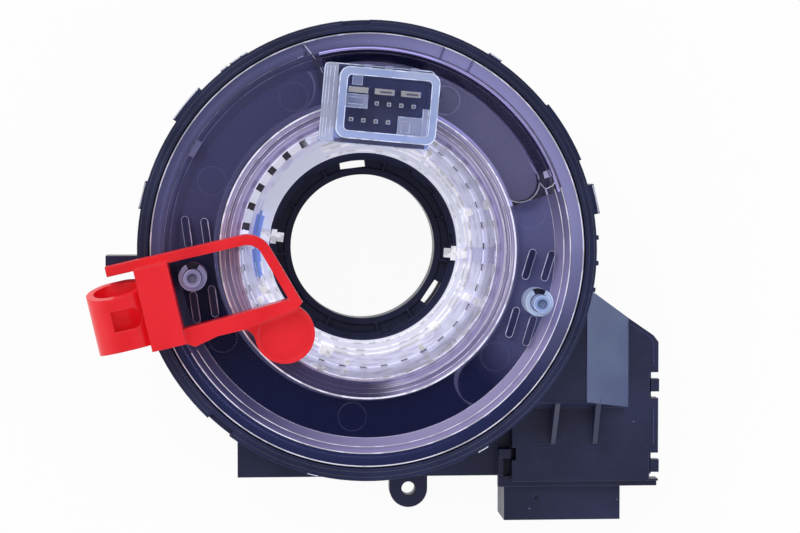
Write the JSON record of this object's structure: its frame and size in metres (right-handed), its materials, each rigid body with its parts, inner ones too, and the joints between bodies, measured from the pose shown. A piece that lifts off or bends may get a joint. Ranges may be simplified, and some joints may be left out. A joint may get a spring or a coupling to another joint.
{
  "type": "steering clock spring",
  "caption": "Steering column clock spring with a clear rotor on rollers, a wheel socket, an angle sensor module with a plug, and a red transport lock",
  "frame": {"origin": "centre of the rear column bore, at the rear cover's rear face", "axes": "+Z along the ring's axis towards the steering wheel, +X towards the side that carries the sensor module, +Y towards the wheel socket, away from the harness plug"},
  "size_m": [0.1336, 0.1179, 0.052],
  "materials": {
    "dark_housing": "satin, fine grain",
    "clear_cover": "clear, polished",
    "tinted_clear": "clear with a blue tint",
    "pale_code_ring": "satin",
    "blue_strip": "satin",
    "board": "lacquered",
    "contacts": "tin plated",
    "slide_film": "smooth low-friction film",
    "grey_carrier": "satin",
    "ribbon": "smooth film",
    "dark_roller": "satin",
    "terminal": "satin",
    "red_lock": "semi-gloss"
  },
  "bodies": {
    "stator": {"stator_housing": "dark_housing", "sensor_housing": "dark_housing", "rear_cover": "dark_housing", "module_lid": "dark_housing", "plug_header": "dark_housing", "plug_pins": "contacts", "circuit_board": "board", "light_barrier_1": "dark_housing", "light_barrier_2": "dark_housing", "slide_film": "slide_film", "outer_terminal_1": "terminal", "outer_terminal_2": "terminal"},
    "rotor": {"rotor_cover": "clear_cover", "hub_sleeve": "dark_housing", "code_ring": "pale_code_ring", "wheel_socket": "tinted_clear", "socket_pins": "contacts", "ribbon_stiffener": "blue_strip", "inner_terminal_1": "terminal", "inner_terminal_2": "terminal"},
    "carrier": {"roller_carrier": "grey_carrier", "ribbon_1": "ribbon", "ribbon_2": "ribbon"},
    "roller_body_1": {"roller_1": "dark_roller"},
    "roller_body_2": {"roller_2": "dark_roller"},
    "roller_body_3": {"roller_3": "dark_roller"},
    "roller_body_4": {"roller_4": "dark_roller"},
    "roller_body_5": {"roller_5": "dark_roller"},
    "roller_body_6": {"roller_6": "dark_roller"},
    "roller_body_7": {"roller_7": "dark_roller"},
    "lock": {"transport_lock": "red_lock"}
  },
  "joints": [
    {"name": "rotor_spin", "type": "hinge", "parent": "stator", "child": "rotor", "pos_m": [0, 0, 0], "axis": [0, 0, 1], "range_deg": [-900, 900]},
    {"name": "carrier_spin", "type": "hinge", "parent": "stator", "child": "carrier", "pos_m": [0, 0, 0], "axis": [0, 0, 1], "range_deg": [-380, 380], "deforming": ["ribbon_1", "ribbon_2"]},
    {"name": "roller_1_spin", "type": "hinge", "parent": "carrier", "child": "roller_body_1", "pos_m": [0.03815, 0.00811, 0.0256], "axis": [0, 0, 1], "continuous": true},
    {"name": "roller_2_spin", "type": "hinge", "parent": "carrier", "child": "roller_body_2", "pos_m": [0.01831, 0.03444, 0.0256], "axis": [0, 0, 1], "continuous": true},
    {"name": "roller_3_spin", "type": "hinge", "parent": "carrier", "child": "roller_body_3", "pos_m": [-0.01679, 0.0352, 0.0256], "axis": [0, 0, 1], "continuous": true},
    {"name": "roller_4_spin", "type": "hinge", "parent": "carrier", "child": "roller_body_4", "pos_m": [-0.03563, 0.01586, 0.0256], "axis": [0, 0, 1], "continuous": true},
    {"name": "roller_5_spin", "type": "hinge", "parent": "carrier", "child": "roller_body_5", "pos_m": [-0.03325, -0.02038, 0.0256], "axis": [0, 0, 1], "continuous": true},
    {"name": "roller_6_spin", "type": "hinge", "parent": "carrier", "child": "roller_body_6", "pos_m": [-0.0034, -0.03885, 0.0256], "axis": [0, 0, 1], "continuous": true},
    {"name": "roller_7_spin", "type": "hinge", "parent": "carrier", "child": "roller_body_7", "pos_m": [0.02988, -0.02507, 0.0256], "axis": [0, 0, 1], "continuous": true},
    {"name": "lock_pull", "type": "slide", "parent": "rotor", "child": "lock", "axis": [0, 0, 1], "range_m": [0, 0.03]}
  ],
  "couplings": [
    {"joint": "carrier_spin", "follows": "rotor_spin", "ratio": 0.42},
    {"joint": "roller_1_spin", "follows": "rotor_spin", "ratio": -5.94},
    {"joint": "roller_2_spin", "follows": "rotor_spin", "ratio": -5.94},
    {"joint": "roller_3_spin", "follows": "rotor_spin", "ratio": -5.94},
    {"joint": "roller_4_spin", "follows": "rotor_spin", "ratio": -5.94},
    {"joint": "roller_5_spin", "follows": "rotor_spin", "ratio": -5.94},
    {"joint": "roller_6_spin", "follows": "rotor_spin", "ratio": -5.94},
    {"joint": "roller_7_spin", "follows": "rotor_spin", "ratio": -5.94}
  ]
}
